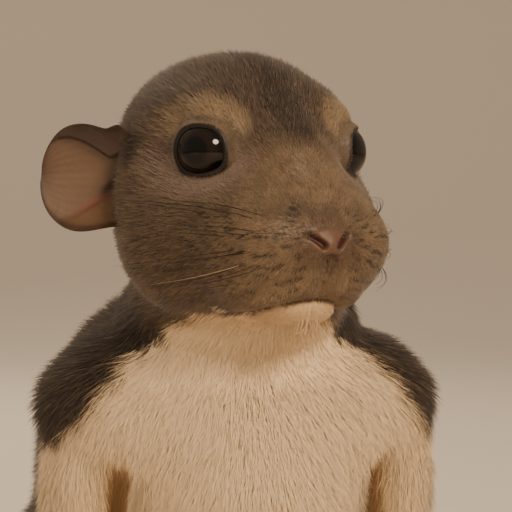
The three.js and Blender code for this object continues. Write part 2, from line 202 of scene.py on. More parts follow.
def grain_group():
    """A shared effect: a fine grain that roughens a surface."""
    group = bpy.data.node_groups.new("fine_grain", "ShaderNodeTree")
    for name, value in (("Scale", 800.0), ("Strength", 0.4), ("Distance", 0.0003)):
        socket = group.interface.new_socket(name, in_out="INPUT", socket_type="NodeSocketFloat")
        socket.default_value = value
    group.interface.new_socket("Normal", in_out="OUTPUT", socket_type="NodeSocketVector")
    nodes, links = group.nodes, group.links
    given = nodes.new("NodeGroupInput")
    result = nodes.new("NodeGroupOutput")
    place = nodes.new("ShaderNodeTexCoord")
    grain = nodes.new("ShaderNodeTexNoise")
    grain.inputs["Detail"].default_value = 4
    bump = nodes.new("ShaderNodeBump")
    links.new(place.outputs["Object"], grain.inputs["Vector"])
    links.new(given.outputs["Scale"], grain.inputs["Scale"])
    links.new(grain.outputs["Fac"], bump.inputs["Height"])
    links.new(given.outputs["Strength"], bump.inputs["Strength"])
    links.new(given.outputs["Distance"], bump.inputs["Distance"])
    links.new(bump.outputs["Normal"], result.inputs["Normal"])
    return group


GRAIN = grain_group()


def shader_of(material):
    return material.node_tree.nodes["Principled BSDF"]


def new_material(name, roughness, specular=0.5, grain=None):
    """A material whose colour is the mesh's own, with a grain of the scale given, if any."""
    material = bpy.data.materials.new(name)
    material.use_nodes = True
    nodes, links = material.node_tree.nodes, material.node_tree.links
    shader = shader_of(material)
    shader.inputs["Roughness"].default_value = roughness
    shader.inputs["Specular IOR Level"].default_value = specular
    tint = nodes.new("ShaderNodeAttribute")
    tint.attribute_name = "coat"
    links.new(tint.outputs["Color"], shader.inputs["Base Color"])
    if grain:
        effect = nodes.new("ShaderNodeGroup")
        effect.node_tree = GRAIN
        effect.inputs["Scale"].default_value = grain
        links.new(effect.outputs["Normal"], shader.inputs["Normal"])
    return material


def fur_material():
    material = new_material("coat", roughness=0.7, specular=0.15)
    inputs = shader_of(material).inputs
    inputs["Sheen Weight"].default_value = 0.12
    inputs["Sheen Roughness"].default_value = 0.5
    return material


def ear_material():
    material = new_material("ear_skin", roughness=0.5, specular=0.35, grain=700)
    inputs = shader_of(material).inputs
    inputs["Subsurface Weight"].default_value = 0.15
    inputs["Subsurface Scale"].default_value = 0.002
    return material


SKIN = new_material("skin_under_coat", roughness=0.5, specular=0.35, grain=900)
FUR = fur_material()
EAR = ear_material()
EYE = new_material("eye", roughness=0.06, specular=0.28)
CLAW = new_material("claw", roughness=0.35)
WHISKER = new_material("whisker", roughness=0.4, specular=0.3)


# Colours

def colour(red, green, blue):
    """A colour as a screen shows it, made linear."""
    screen = np.array([red, green, blue]) / 255
    return np.where(screen < 0.04045, screen / 12.92, ((screen + 0.055) / 1.055) ** 2.4)


CREAM = colour(238, 210, 172)
# A deeper cream: painted shade low on the body, by the forelegs and under the chin, and the feet's and
# lower lip's own tone
DEEP_CREAM_AND_SHADE = colour(216, 178, 134)
CROWN = colour(79, 66, 56)
BACK = colour(84, 76, 69)
CAPE = colour(60, 51, 45)
CHEEK = colour(104, 87, 71)
MUZZLE = colour(126, 105, 82)
LIP = colour(146, 122, 95)
PALE_PATCH = colour(150, 129, 102)
MAUVE = colour(134, 115, 104)
NEARLY_BLACK = colour(34, 27, 24)
NOSE = colour(84, 60, 47)
NOSTRIL = colour(58, 32, 25)
LID = colour(24, 18, 16)
UNDERFUR = colour(52, 46, 45)
TOE = colour(190, 152, 126)
IRIS = colour(22, 14, 10)
PUPIL = colour(4, 3, 3)
EAR_INSIDE = colour(126, 102, 84)
EAR_CREASE = colour(134, 88, 74)
EAR_LOBE = colour(118, 90, 66)
# Ear skin painted deep in the cup as shade
EAR_DEEP_SHADE = colour(74, 54, 46)
EAR_OUTSIDE = colour(88, 68, 60)
EAR_RIM = colour(64, 46, 40)
HORN = colour(92, 76, 64)


# Eyes: their axes and the slit between the lids

EYE_AXES = {}  # for each eye: towards the nose, up, and out
for word, sign in SIDES:
    out = unit(np.array([0.8 * sign, -0.58, -0.02])) @ HEAD_AXES
    to_nose = unit(np.cross(out, HEAD_Z) * sign)
    up = unit(np.cross(to_nose, out) * sign)
    EYE_AXES[word] = np.array([to_nose, up, out])

LID_LENGTH = 6.3 * MM  # half of the open slit, from corner to corner, measured round the eye
LID_HEIGHT = 5.5 * MM
LID_THICKNESS = 0.7 * MM
UNDER_LIDS = -1.2 * MM  # the skin inside the slit, from the eyeball's surface
SLIT_SIZE = 6  # about half the slit, in millimetres, which turns a share of it into a length
OFF_LIDS = 12 * MM  # further than this from an eye or its slit there is no lid


def on_eye(points, word):
    """How far points are from an eye's middle, and how far outside the slit along the lids."""
    away = np.asarray(points) - EYES[word]
    far = np.linalg.norm(away, axis=1)
    local = unit(away) @ EYE_AXES[word].T
    u = np.arcsin(np.clip(local[:, 0], -1, 1)) * EYE_RADIUS
    v = np.arcsin(np.clip(local[:, 1], -1, 1)) * EYE_RADIUS
    # The corner towards the nose is drawn out and a little lower, and the other one is rounder.
    inner = smooth(2 * MM, 7 * MM, u)
    v = v + 0.4 * MM * inner
    ring = np.hypot(u / (LID_LENGTH * (1 + 0.04 * inner)), v / LID_HEIGHT)
    outside = (ring - 1) * SLIT_SIZE * MM
    return far, np.where(local[:, 2] < 0.1, OFF_LIDS, outside)


def lid_share(points, start, end):
    """1 on the lids nearer to the slit than start, 0 beyond end (in millimetres)."""
    share = np.zeros(len(points))
    for word, _ in SIDES:
        far, outside = on_eye(points, word)
        share = np.maximum(share, smooth(end * MM, start * MM, outside) * (far < OFF_LIDS))
    return share


# Soft masks over the animal, from 0 to 1

def head_share(points):
    h = in_head(points)
    x, y, z = h[:, 0] / 33, (h[:, 1] + 2) / 41, h[:, 2] / 35
    return smooth(1.14, 0.98, np.sqrt(x ** 2 + y ** 2 + z ** 2))


def foot_share(points):
    b = in_body(points)
    hind = smooth(13, 9, b[:, 2]) * smooth(24, 27, np.abs(b[:, 0])) * smooth(50, 40, b[:, 1])
    fore = smooth(14, 9, b[:, 2]) * smooth(-6, -10, b[:, 1])
    return np.maximum(hind, fore)


def foreleg_share(points):
    b = in_body(points)
    along = smooth(82, 66, b[:, 2]) * smooth(19, 24, np.abs(b[:, 0]))
    return along * smooth(17, 10, b[:, 1])


def breast_share(points):
    return smooth(25, 0, in_body(points)[:, 1])


def tail_share(points):
    """The tail, and not the rump above it, which reaches as far back."""
    from_line = np.min([np.linalg.norm(points - spot, axis=1) for spot in TAIL_LINE], axis=0)
    return smooth(92, 98, in_body(points)[:, 1]) * smooth(13 * MM, 8 * MM, from_line)


def nose_share(points):
    away = (in_head(points) - NOSE_TIP) / [5.0, 5.0, 3.0]
    return smooth(1.2, 0.8, np.linalg.norm(away, axis=1))


def near_eye(points):
    nearest = np.minimum(*(np.linalg.norm(points - EYES[word], axis=1) for word, _ in SIDES))
    return smooth(13 * MM, 8.5 * MM, nearest)


# The mouth, the parting above it and the nostrils, as rows of (x, z) marks on the front of the face
MOUTH_Z, MOUTH_BEND = -24.0, 0.026  # its height in the middle, and how it bends down to the corners
MOUTH = [(x, MOUTH_Z - MOUTH_BEND * x * x) for x in np.linspace(-11, 11, 27)]
PARTING = [(0.0, z) for z in np.linspace(-15.5, -24.2, 8)]
CHIN_AT = np.array([0.0, -31.0, -28.0])
NOSTRIL_ENDS = (4.5, -9.8), (1.9, -12.0)
NOSTRILS = [(x * sign, z) for _, sign in SIDES for x, z in zip(*np.linspace(*NOSTRIL_ENDS, 7).T)]


def from_marks(points, marks):
    """How far points on the front of the face are from the nearest of the marks, in millimetres."""
    h = in_head(points)
    near = np.min([np.hypot(h[:, 0] - x, h[:, 2] - z) for x, z in marks], axis=0)
    return np.where(h[:, 1] < -14, near, 99)


# Skin

VOXEL = 1.15 * MM
ARM_CREASE_DEPTH = 3.5 * MM

# How deep the skin lies under the tips of the coat, in millimetres
HEAD_DEPTH = 1.3
BODY_DEPTH, BREAST_SHALLOWER, LEG_SHALLOWER = 4.2, 1.1, 1.4
FOOT_DEPTH = 0.4


def flesh_mesh():
    """The flesh, the eyes that fill its sockets and the tail's core as one rough mesh."""
    made = bmesh.new()
    for name in FLESH + ["eye_left", "eye_right"]:
        made.from_mesh(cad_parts[name].data)
    last = len(TAIL_LINE) - 1
    radii = TAIL_SKIN_RADIUS * np.linspace(1, 0.5, last + 1)
    for i, (start, end) in enumerate(zip(TAIL_LINE, TAIL_LINE[1:])):
        ahead = Vector(end - start)
        turn = ahead.to_track_quat("Z", "Y").to_matrix().to_4x4()
        place = Matrix.Translation(Vector(start + end) / 2) @ turn
        bmesh.ops.create_cone(made, cap_ends=True, segments=16, radius1=radii[i], radius2=radii[i + 1],
                              depth=ahead.length * 1.3, matrix=place)
    return mesh_from(made, "flesh")


def remeshed(mesh, voxel):
    """The mesh with even faces, its parts run together where they touch."""
    draft = bpy.data.objects.new("draft", mesh)
    bpy.context.scene.collection.objects.link(draft)
    remesh = draft.modifiers.new("even", "REMESH")
    remesh.mode = "VOXEL"
    remesh.voxel_size = voxel
    depsgraph = bpy.context.evaluated_depsgraph_get()
    made = bpy.data.meshes.new_from_object(draft.evaluated_get(depsgraph))
    bpy.data.objects.remove(draft)
    return made


def refine(mesh, spots, reach):
    """Cuts the faces within reach of the spots in four."""
    made = bmesh.new()
    made.from_mesh(mesh)
    spots = [Vector(spot) for spot in spots]
    near = [e for e in made.edges if any((e.verts[0].co - spot).length < reach for spot in spots)]
    bmesh.ops.subdivide_edges(made, edges=near, cuts=1, use_grid_fill=True)
    made.to_mesh(mesh)
    made.free()


def neighbours(mesh):
    edges = np.empty(len(mesh.edges) * 2, dtype=np.int64)
    mesh.edges.foreach_get("vertices", edges)
    return edges.reshape(-1, 2)


def relaxed(points, edges, weight, rounds):
    """Each point drifts to the middle of its neighbours, by its weight, that many times."""
    count = len(points)
    one, other = edges.T
    degree = np.bincount(one, minlength=count) + np.bincount(other, minlength=count)
    for _ in range(rounds):
        total = np.empty_like(points)
        for k in range(3):
            total[:, k] = np.bincount(one, points[other, k], minlength=count)
            total[:, k] += np.bincount(other, points[one, k], minlength=count)
        points = points + (total / degree[:, None] - points) * weight[:, None]
    return points


def coat_depth(points):
    """How far the skin lies inside the solids, whose outside is that of the coat."""
    forward = in_head(points)[:, 1]
    on_head = HEAD_DEPTH - 0.9 * smooth(-14, -34, forward) + 0.8 * smooth(-4, 12, forward)
    on_head = on_head * (1 - 0.7 * near_eye(points)) * (1 - nose_share(points))
    leg = foreleg_share(points) * smooth(70, 35, in_body(points)[:, 2])
    feet = foot_share(points)
    on_body = BODY_DEPTH - BREAST_SHALLOWER * breast_share(points) - LEG_SHALLOWER * leg
    on_body = on_body * (1 - feet) + FOOT_DEPTH * feet
    on_body = on_body * (1 - tail_share(points))
    head = head_share(points)
    return (on_body * (1 - head) + on_head * head) * MM


def arm_crease(points):
    """1 in the fold between each foreleg and the breast, where the skin is sunk and its cream is painted
    darker as shade.
    """
    b = in_body(points)
    beside = np.abs(np.abs(b[:, 0]) - 30.5 + 0.16 * np.maximum(0, 56 - b[:, 2]))
    along = smooth(80, 66, b[:, 2]) * smooth(14, 22, b[:, 2])
    return smooth(4.5, 0.5, beside) * along * smooth(8, 2, b[:, 1])


def chin_fold_shade(points):
    """1 in the fold where the chin meets the throat, where the cream is painted darker as shade."""
    h = in_head(points)
    beside = np.abs(h[:, 2] + 31.0 - 0.012 * h[:, 0] ** 2)
    return smooth(1.8, 0.3, beside) * smooth(14, 9, np.abs(h[:, 0])) * smooth(-10, -14, h[:, 1])


def with_lids(points):
    """Draws a rounded rim over each eyeball, and the skin inside the slit back under it."""
    for word, _ in SIDES:
        far, outside = on_eye(points, word)
        rim = LID_THICKNESS * (1 - 0.3 * smooth(0.8 * MM, 3 * MM, outside))
        radius = EYE_RADIUS + UNDER_LIDS + (rim - UNDER_LIDS) * smooth(-0.35 * MM, 0.35 * MM, outside)
        hold = smooth(4.5 * MM, 1.4 * MM, outside) * smooth(15 * MM, 11 * MM, far)
        points = mix(points, EYES[word] + unit(points - EYES[word]) * radius[:, None], hold)
    return points


# Depths of the marks on the face and heights of what puffs beside them, in millimetres
NOSTRIL_DEPTH, MOUTH_DEPTH, PARTING_DEPTH = 1.6, 1.5, 0.9
LIP_PUFF, CHIN_PUFF = 0.7, 1.9


def with_mouth(points, normals):
    """Draws the nostrils, the parting and the mouth in, and lets the lips puff beside them."""
    sunk = NOSTRIL_DEPTH * smooth(1.1, 0.3, from_marks(points, NOSTRILS))
    sunk = np.maximum(sunk, MOUTH_DEPTH * smooth(1.3, 0.1, from_marks(points, MOUTH)))
    sunk = np.maximum(sunk, PARTING_DEPTH * smooth(0.9, 0.1, from_marks(points, PARTING)))
    beside = from_marks(points, MOUTH + PARTING)
    puff = LIP_PUFF * smooth(1.0, 2.6, beside) * smooth(6.5, 3.0, beside)
    chin = np.linalg.norm((in_head(points) - CHIN_AT) / [12, 9, 6], axis=1)
    puff = puff + CHIN_PUFF * smooth(1.1, 0.2, chin)
    return points + normals * ((puff - sunk) * MM)[:, None]


def shape_skin():
    """The skin. It is open at both wrists, where foreleg and forepaw end about 3 mm apart."""
    mesh = remeshed(flesh_mesh(), VOXEL)
    points = vertex_array(mesh)
    # The solids' flat facets are smoothed away.
    weight = 0.5 * (1 - foot_share(points)) * (1 - 0.6 * head_share(points))
    set_vertices(mesh, relaxed(points, neighbours(mesh), weight, rounds=26))
    eyes = [EYES[word] for word, _ in SIDES]
    nose = from_head(NOSE_TIP)
    refine(mesh, eyes, 11.5 * MM)
    refine(mesh, eyes + [nose], 9.2 * MM)
    refine(mesh, [from_head([0, -36, -20])], 11 * MM)
    points = vertex_array(mesh)
    edges = neighbours(mesh)
    face = np.maximum(near_eye(points), smooth(20 * MM, 12 * MM, np.linalg.norm(points - nose, axis=1)))
    points = relaxed(points, edges, 0.5 * face, rounds=16)
    set_vertices(mesh, points)
    # In to the foot of the coat, in two steps, so that the normals follow
    for _ in range(2):
        points = points - normal_array(mesh) * coat_depth(points)[:, None] / 2
        set_vertices(mesh, points)
    weight = 0.4 * (1 - head_share(points)) * (1 - foot_share(points))
    points = relaxed(points, edges, weight, rounds=6)
    set_vertices(mesh, points)
    points = points - normal_array(mesh) * (ARM_CREASE_DEPTH * arm_crease(points))[:, None]
    set_vertices(mesh, with_lids(points))
    points = with_mouth(vertex_array(mesh), normal_array(mesh))
    points[:, 2] = np.maximum(points[:, 2], 0.0)
    set_vertices(mesh, points)
    return mesh


def unwrap(mesh):
    """Gives the skin its own unwrap, OFBake."""
    draft = bpy.data.objects.new("draft", mesh)
    bpy.context.scene.collection.objects.link(draft)
    mesh.uv_layers.new(name="OFBake")
    bpy.context.view_layer.objects.active = draft
    draft.select_set(True)
    bpy.ops.object.mode_set(mode="EDIT")
    bpy.ops.mesh.select_all(action="SELECT")
    bpy.ops.uv.smart_project(angle_limit=math.radians(66), island_margin=0.003)
    bpy.ops.object.mode_set(mode="OBJECT")
    bpy.data.objects.remove(draft)


# Markings, the same for the skin and the coat

def body_marking(points):
    """Cream breast, belly and arms under a dark cape over the shoulders and back, with shade painted low on
    the body, in the folds by the forelegs and under the chin.
    """
    b = in_body(points)
    wave = ripple(points, 9) * 1.6 + ripple(points, 3.1, 2.0) * 0.7
    x, y, z = np.abs(b[:, 0]), b[:, 1], b[:, 2] + wave
    front = 14 + np.maximum(0, 107 - z) * 1.08 - x
    front = np.where(y < 6, front, front - (y - 6) * 2.4)
    flank = np.maximum(76 - 1.9 * np.maximum(0, y), 25) - z
    cream = smooth(-5, 5, np.maximum(front, flank))
    cream = np.maximum(cream, smooth(26, 16, z) * smooth(80, 60, y))
    shoulder = smooth(60, 95, z) * smooth(60, 20, y)
    dark = mix(BACK, CAPE, shoulder)
    dark = mix(dark, CHEEK, 0.5 * smooth(50, 28, z))
    # Painted shade: the cream is darker low on the body, in the folds between the forelegs and the breast,
    # under the chin and in the chin's fold.
    shaded = np.maximum(smooth(70, 20, z) * 0.5, arm_crease(points))
    shade_under_chin = smooth(-26, -30, in_head(points)[:, 2]) * smooth(-34, -24, in_head(points)[:, 1])
    shade_under_chin = shade_under_chin * smooth(102, 108, b[:, 2])
    pale = mix(CREAM, DEEP_CREAM_AND_SHADE, np.maximum(shaded, 0.8 * shade_under_chin))
    pale = pale * (1 - 0.3 * arm_crease(points) - 0.45 * chin_fold_shade(points))[:, None]
    return dark, pale, cream


def face_marking(points):
    """The face's greys, with a pale brow and a dark spot behind each eye, and where its lower lip
    and throat are."""
    h = in_head(points)
    wave = ripple(points, 9) * 0.8 + ripple(points, 3.1, 2.0) * 0.35
    x, y, z = np.abs(h[:, 0]), h[:, 1], h[:, 2] + wave
    dark = mix(CHEEK, CROWN, smooth(4, 20, z))
    dark = mix(dark, CROWN, smooth(-2, 16, y) * 0.9)
    dark = mix(dark, MUZZLE, smooth(-18, -30, y) * smooth(14, 4, z))
    blaze = smooth(6, 2, x) * smooth(6, 13, z) * smooth(6, -8, y)
    dark = mix(dark, NEARLY_BLACK, 0.6 * blaze)
    band = smooth(2.2, 0.8, np.abs(z + 5)) * smooth(-24, -34, y) * smooth(16, 8, x)
    dark = mix(dark, CHEEK * 0.8, 0.6 * band)
    lip = smooth(-15, -20, z) * smooth(-22, -30, y)
    dark = mix(dark, LIP, 0.8 * lip)
    mottle = 1 + 0.2 * ripple(points, 5.5, 1.0) + 0.18 * ripple(points, 2.6, 3.0)
    dark = dark * mottle[:, None]
    # Whisker pads: rows of dark follicles
    pad = smooth(-14, -22, y) * smooth(0, -5, z) * smooth(-26, -21, z) * smooth(3, 6, x)
    rows = np.sin(2 * math.pi * (z + 0.25 * y) / 2.2) * np.sin(2 * math.pi * (y - 0.5 * x + 0.4 * z) / 2.5)
    dark = mix(dark, NEARLY_BLACK, 0.85 * pad * smooth(0.4, 0.7, rows))
    # The fur round the nose takes on its colour.
    by_nose = smooth(9.5, 5, np.linalg.norm((h - NOSE_TIP) / [1.3, 1, 0.9], axis=1))
    dark = mix(dark, NOSE, 0.6 * by_nose)
    # Whiskers shade the cheek behind the pads in thin streaks.
    streak = np.sin(2 * math.pi * (z + 0.22 * y + 1.2 * ripple(points, 30)) / 3.4)
    cheek = smooth(-2, -8, z) * smooth(-30, -24, z) * smooth(-22, -14, y) * smooth(12, 2, y)
    dark = mix(dark, NEARLY_BLACK, 0.4 * cheek * smooth(0.5, 0.95, streak))
    for word, sign in SIDES:
        away = points - EYES[word]
        far = np.linalg.norm(away, axis=1) / MM
        local = unit(away) @ EYE_AXES[word].T
        brow = smooth(7.2, 8.6, far) * smooth(13, 10.2, far) * smooth(0.15, 0.55, local[:, 1])
        dark = mix(dark, PALE_PATCH, brow * 0.85)
        under = smooth(7, 8.6, far) * smooth(16, 11, far) * smooth(0.1, -0.3, local[:, 1])
        dark = mix(dark, MAUVE, under * 0.75)
        behind = smooth(6, 2.4, np.linalg.norm(h - [25.5 * sign, 0.5, 8.5], axis=1))
        dark = mix(dark, NEARLY_BLACK, behind * 0.8)
    # The cream lower lip is a crescent, and the jaw beside it stays brown down to the throat.
    lower_lip = smooth(-23.6, -25.0, h[:, 2] + MOUTH_BEND * x * x)
    lower_lip = lower_lip * smooth(10.5, 7.0, x) * smooth(-14, -20, y)
    throat = smooth(-27, -29, z - 0.008 * x * x) * smooth(12, 4, y)
    return dark, lower_lip, throat


def marking(points):
    """The dark and the pale colour at points, and how far the pale one shows there."""
    dark, pale, cream = body_marking(points)
    feet = foot_share(points)
    pale = mix(pale, (DEEP_CREAM_AND_SHADE + TOE) / 2, 0.7 * feet)
    tail = tail_share(points)
    dark = mix(dark, mix(BACK, PALE_PATCH, 0.2 + 0.2 * ripple(points, 7)), tail)
    cream = np.maximum(cream, feet) * (1 - tail)
    head = head_share(points)
    face, lower_lip, throat = face_marking(points)
    cream_face = np.maximum(lower_lip, throat * cream)
    pale = mix(pale, DEEP_CREAM_AND_SHADE * 0.82, lower_lip * head)
    return mix(dark, face, head), pale, cream * (1 - head) + cream_face * head


def skin_colour(points):
    """The skin's colour: the markings' colours, darkened under the coat as painted shade, and bare on the
    nose and the lids.
    """
    dark, pale, cream = marking(points)
    # The markings are darkened under the coat as painted shade.
    shade = mix(dark * 0.55, pale * 0.8, cream)
    shade = mix(shade, NOSE, nose_share(points))
    shade = mix(shade, NOSTRIL, smooth(1.0, 0.4, from_marks(points, NOSTRILS)))
    shade = mix(shade, NOSTRIL, smooth(0.9, 0.3, from_marks(points, MOUTH)))
    return mix(shade, LID, lid_share(points, 0.6, 1.1))


skin_mesh = shape_skin()
unwrap(skin_mesh)
skin_points = vertex_array(skin_mesh)
store_colour(skin_mesh, skin_colour(skin_points))
finish_piece(skin_mesh, "skin", SKIN, FLESH + TAIL_NODES)


# Coat: where its roots are and which way it lies

SWIRL, SWIRL_SIZE = 0.16, 13  # how far the coat's lie wanders, and over how many millimetres


def skin_triangles():
    """The skin's triangles: their corners and those corners' places on the unwrap."""
    skin_mesh.calc_loop_triangles()
    count = len(skin_mesh.loop_triangles)
    corners = np.empty(count * 3, dtype=np.int32)
    skin_mesh.loop_triangles.foreach_get("vertices", corners)
    loops = np.empty(count * 3, dtype=np.int32)
    skin_mesh.loop_triangles.foreach_get("loops", loops)
    uv = np.empty(len(skin_mesh.loops) * 2)
    skin_mesh.uv_layers["OFBake"].data.foreach_get("uv", uv)
    return corners.reshape(-1, 3), uv.reshape(-1, 2)[loops.reshape(-1, 3)]


CORNERS, UNWRAP = skin_triangles()
SKIN_NORMALS = normal_array(skin_mesh)
A, B, C = (skin_points[CORNERS[:, k]] for k in range(3))
AREA = np.linalg.norm(np.cross(B - A, C - A), axis=1) / 2 / MM ** 2
CENTRE = (A + B + C) / 3
ON_HEAD = head_share(CENTRE) > 0.5
ON_TAIL = tail_share(CENTRE) >= 0.5


def bare_share(points):
    """Where no hair grows: the nose, the lids' rims, the nostrils and the line of the mouth."""
    bare = np.maximum(nose_share(points), lid_share(points, 0.3, 0.8))
    return np.maximum(bare, smooth(0.9, 0.5, from_marks(points, MOUTH + NOSTRILS)))


def scatter(density):
    """Roots spread over the skin, by the number wanted for each square millimetre of each triangle."""
    wanted = AREA * density
    count = np.floor(wanted + random.random(len(wanted))).astype(int)
    chosen = np.repeat(np.arange(len(wanted)), count)
    r1 = np.sqrt(random.random(len(chosen)))
    r2 = random.random(len(chosen))
    weights = np.stack([1 - r1, r1 * (1 - r2), r1 * r2], axis=1)[:, :, None]
    root = (skin_points[CORNERS[chosen]] * weights).sum(axis=1)
    normal = unit((SKIN_NORMALS[CORNERS[chosen]] * weights).sum(axis=1))
    place = (UNWRAP[chosen] * weights).sum(axis=1)
    return root, normal, place


def beside_tail(points):
    """The tail's direction beside each point, and how far along it that is, from 0 to 1."""
    index = np.argmin(((points[:, None, :] - TAIL_LINE[None]) ** 2).sum(axis=2), axis=1)
    ahead = unit(np.gradient(TAIL_LINE, axis=0))
    return ahead[index], index / (len(TAIL_LINE) - 1)


def lie(points, normals):
    """The way the coat lies: back from the nose, down the breast and legs, along the back and tail."""
    b = in_body(points)
    h = in_head(points)
    still = 0 * b[:, 0]
    spread = unit(h - NOSE_TIP + [0, 6, 0])
    spread = spread + np.stack([still, still + 0.55, -0.25 * smooth(5, -10, h[:, 2])], axis=1)
    side = np.tanh(b[:, 0] / 14)
    back = np.stack([0.25 * side, still + 1.0, -0.55 - 0.5 * smooth(90, 40, b[:, 2])], axis=1)
    front = np.stack([0.35 * side, still, still - 1.0], axis=1)
    ahead = smooth(0.25, -0.45, normals[:, 1]) * smooth(30, 5, b[:, 1])
    flow = mix(back, front, ahead)
    flow = mix(flow, np.array([0, -0.15, -1.0]), foreleg_share(points))
    flow = mix(flow, np.array([0, -1.0, -0.15]), foot_share(points))
    flow = mix(flow, beside_tail(points)[0], tail_share(points))
    head = head_share(points)
    flow = unit(mix(flow, unit(spread) @ HEAD_AXES, head))
    swirl = np.stack([ripple(points, SWIRL_SIZE, seed) for seed in (0.0, 2.0, 4.0)], axis=1)
    flow = flow + swirl * (SWIRL * (1 - 0.6 * head))[:, None]
    return unit(flow - (flow * normals).sum(axis=1, keepdims=True) * normals)


# Coat: its tufts

UV_PATCH = 0.003
STRAY = 0.19  # how far tufts stray from the coat's lie, as a share of their own direction
PIECE_LIMIT = 190000  # triangles in one piece of coat
ROOT_SUNK = 0.25 * MM  # how deep a tuft starts inside the skin
TUFT_FLATNESS = 0.7
TUFT_TAPER = 1.6
OFF_FLOOR = 0.15 * MM

# Tufts for each square millimetre of skin
HEAD_DENSITY, MORE_ON_FACE = 8.5, 7
BODY_DENSITY, MORE_IN_FRONT, MORE_ON_FEET = 3.2, 4.6, 1.0
TAIL_DENSITY = 6.0

# Lengths and widths of tufts, in millimetres
HEAD_HAIR, FACE_SHORTER = 4.6, 3.3
HEAD_WIDTH, FACE_THINNER = 0.38, 0.16
BODY_HAIR, BREAST_SHORTER, LEG_SHORTER, FOOT_HAIR = 10.5, 2.5, 3.0, 1.7
BODY_WIDTH, BREAST_THINNER, FOOT_WIDTH = 0.56, 0.18, 0.3
TAIL_HAIR, TAIL_TOP_LONGER, TAIL_ROOT_SHORTER = 18, 8, 4
TAIL_WIDTH = 0.95


def tuft_faces(rings):
    """The triangles of one three-sided tuft with that many rings and a tip."""
    faces = []
    for start in range(0, 3 * (rings - 1), 3):
        for corner in range(3):
            a, b = start + corner, start + (corner + 1) % 3
            faces += [(a, b, b + 3), (a, b + 3, a + 3)]
    last = 3 * (rings - 1)
    faces += [(last + corner, last + (corner + 1) % 3, last + 3) for corner in range(3)]
    return np.array(faces)


def tuft_points(root, normal, flow, form, rings):
    """Each tuft's points and their soft normals, ring by ring and the tip last."""
    length, width, lift, curl = form
    across = np.cross(normal, flow)
    turn = random.random(len(root)) * 2 * math.pi
    points, bends = [], []
    for k in range(rings + 1):
        t = k / rings
        along = np.cos(lift) * t * length
        rise = (np.sin(lift) * t - curl * t * t) * length
        rise = rise - (ROOT_SUNK if k == 0 else 0)
        centre = root + flow * along[:, None] + normal * rise[:, None]
        if k == rings:
            points.append(centre)
            bends.append(unit(normal + 0.15 * flow))
            break
        for corner in range(3):
            angle = turn + corner * 2 * math.pi / 3
            outward = across * np.cos(angle)[:, None] + normal * (TUFT_FLATNESS * np.sin(angle))[:, None]
            points.append(centre + outward * (width / 2 * (1 - t ** TUFT_TAPER))[:, None])
            bends.append(unit(normal + 0.22 * outward + 0.1 * flow))
    return np.stack(points, axis=1), np.stack(bends, axis=1)


def coat_mesh(name, points, bends, place, tones):
    """One mesh of tufts, coloured from root to tip and set at their roots' places on the unwrap."""
    count, each, _ = points.shape
    rings = len(tones) - 1
    points = points.reshape(-1, 3)
    points[:, 2] = np.maximum(points[:, 2], OFF_FLOOR)
    triangles = (tuft_faces(rings)[None] + (np.arange(count) * each)[:, None, None]).reshape(-1, 3)
    mesh = bpy.data.meshes.new(name)
    mesh.vertices.add(len(points))
    mesh.vertices.foreach_set("co", points.astype(np.float32).ravel())
    mesh.loops.add(triangles.size)
    mesh.loops.foreach_set("vertex_index", triangles.astype(np.int32).ravel())
    mesh.polygons.add(len(triangles))
    mesh.polygons.foreach_set("loop_start", np.arange(0, triangles.size, 3, dtype=np.int32))
    mesh.update()
    station = np.minimum(np.arange(each) // 3, rings)
    store_colour(mesh, np.stack([tones[k] for k in station], axis=1).reshape(-1, 3))
    angle = np.arange(each) * 2.1
    patch = UV_PATCH / 2 * np.stack([np.cos(angle), np.sin(angle)], axis=1)
    spots = (place[:, None, :] + patch[None]).reshape(-1, 2)[triangles.ravel()]
    mesh.uv_layers.new(name="OFBake").data.foreach_set("uv", spots.astype(np.float32).ravel())
    mesh.polygons.foreach_set("use_smooth", [True] * len(triangles))
    mesh.normals_split_custom_set_from_vertices(bends.reshape(-1, 3))
    return mesh


def grow(name, roots, form, tones):
    """Grows tufts from roots, in as many pieces as the limit asks. form holds each tuft's length,
    width, lift and curl, and tones its colours from root to tip."""
    root, normal, place = roots
    rings = len(tones) - 1
    flow = lie(root, normal)
    stray = STRAY * random.standard_normal(len(root))
    flow = unit(flow + np.cross(normal, flow) * stray[:, None])
    points, bends = tuft_points(root, normal, flow, form, rings)
    total = len(root) * len(tuft_faces(rings))
    pieces = math.ceil(total / PIECE_LIMIT)
    for number in range(pieces):
        part = slice(number, None, pieces)
        label = f"{name}_{number + 1}"
        mesh = coat_mesh(label, points[part], bends[part], place[part], [tone[part] for tone in tones])
        finish_piece(mesh, label, FUR)
    print(name, len(root), "tufts", total, "triangles in", pieces)


def hair_tones(root):
    """Root and tip colours of tufts: dark under, paler out, with a few pale or nearly black tips."""
    dark, pale, cream = marking(root)
    count = len(root)
    # Where the two colours meet, each tuft takes one of them.
    cream = smooth(0.3, 0.7, cream + 0.5 * (random.random(count) - 0.5))
    vary = 1 + (0.5 - 0.44 * cream) * (random.random(count) - 0.5)
    luck = random.random(count)
    tip = mix(dark, PALE_PATCH, 0.55 * smooth(0.86, 0.93, luck))
    tip = mix(tip, NEARLY_BLACK, 0.6 * smooth(0.16, 0.08, luck))
    tip = mix(tip, pale, cream) * vary[:, None]
    base = mix(UNDERFUR * 0.7 + dark * 0.25, pale * 0.93, cream)
    return base, tip


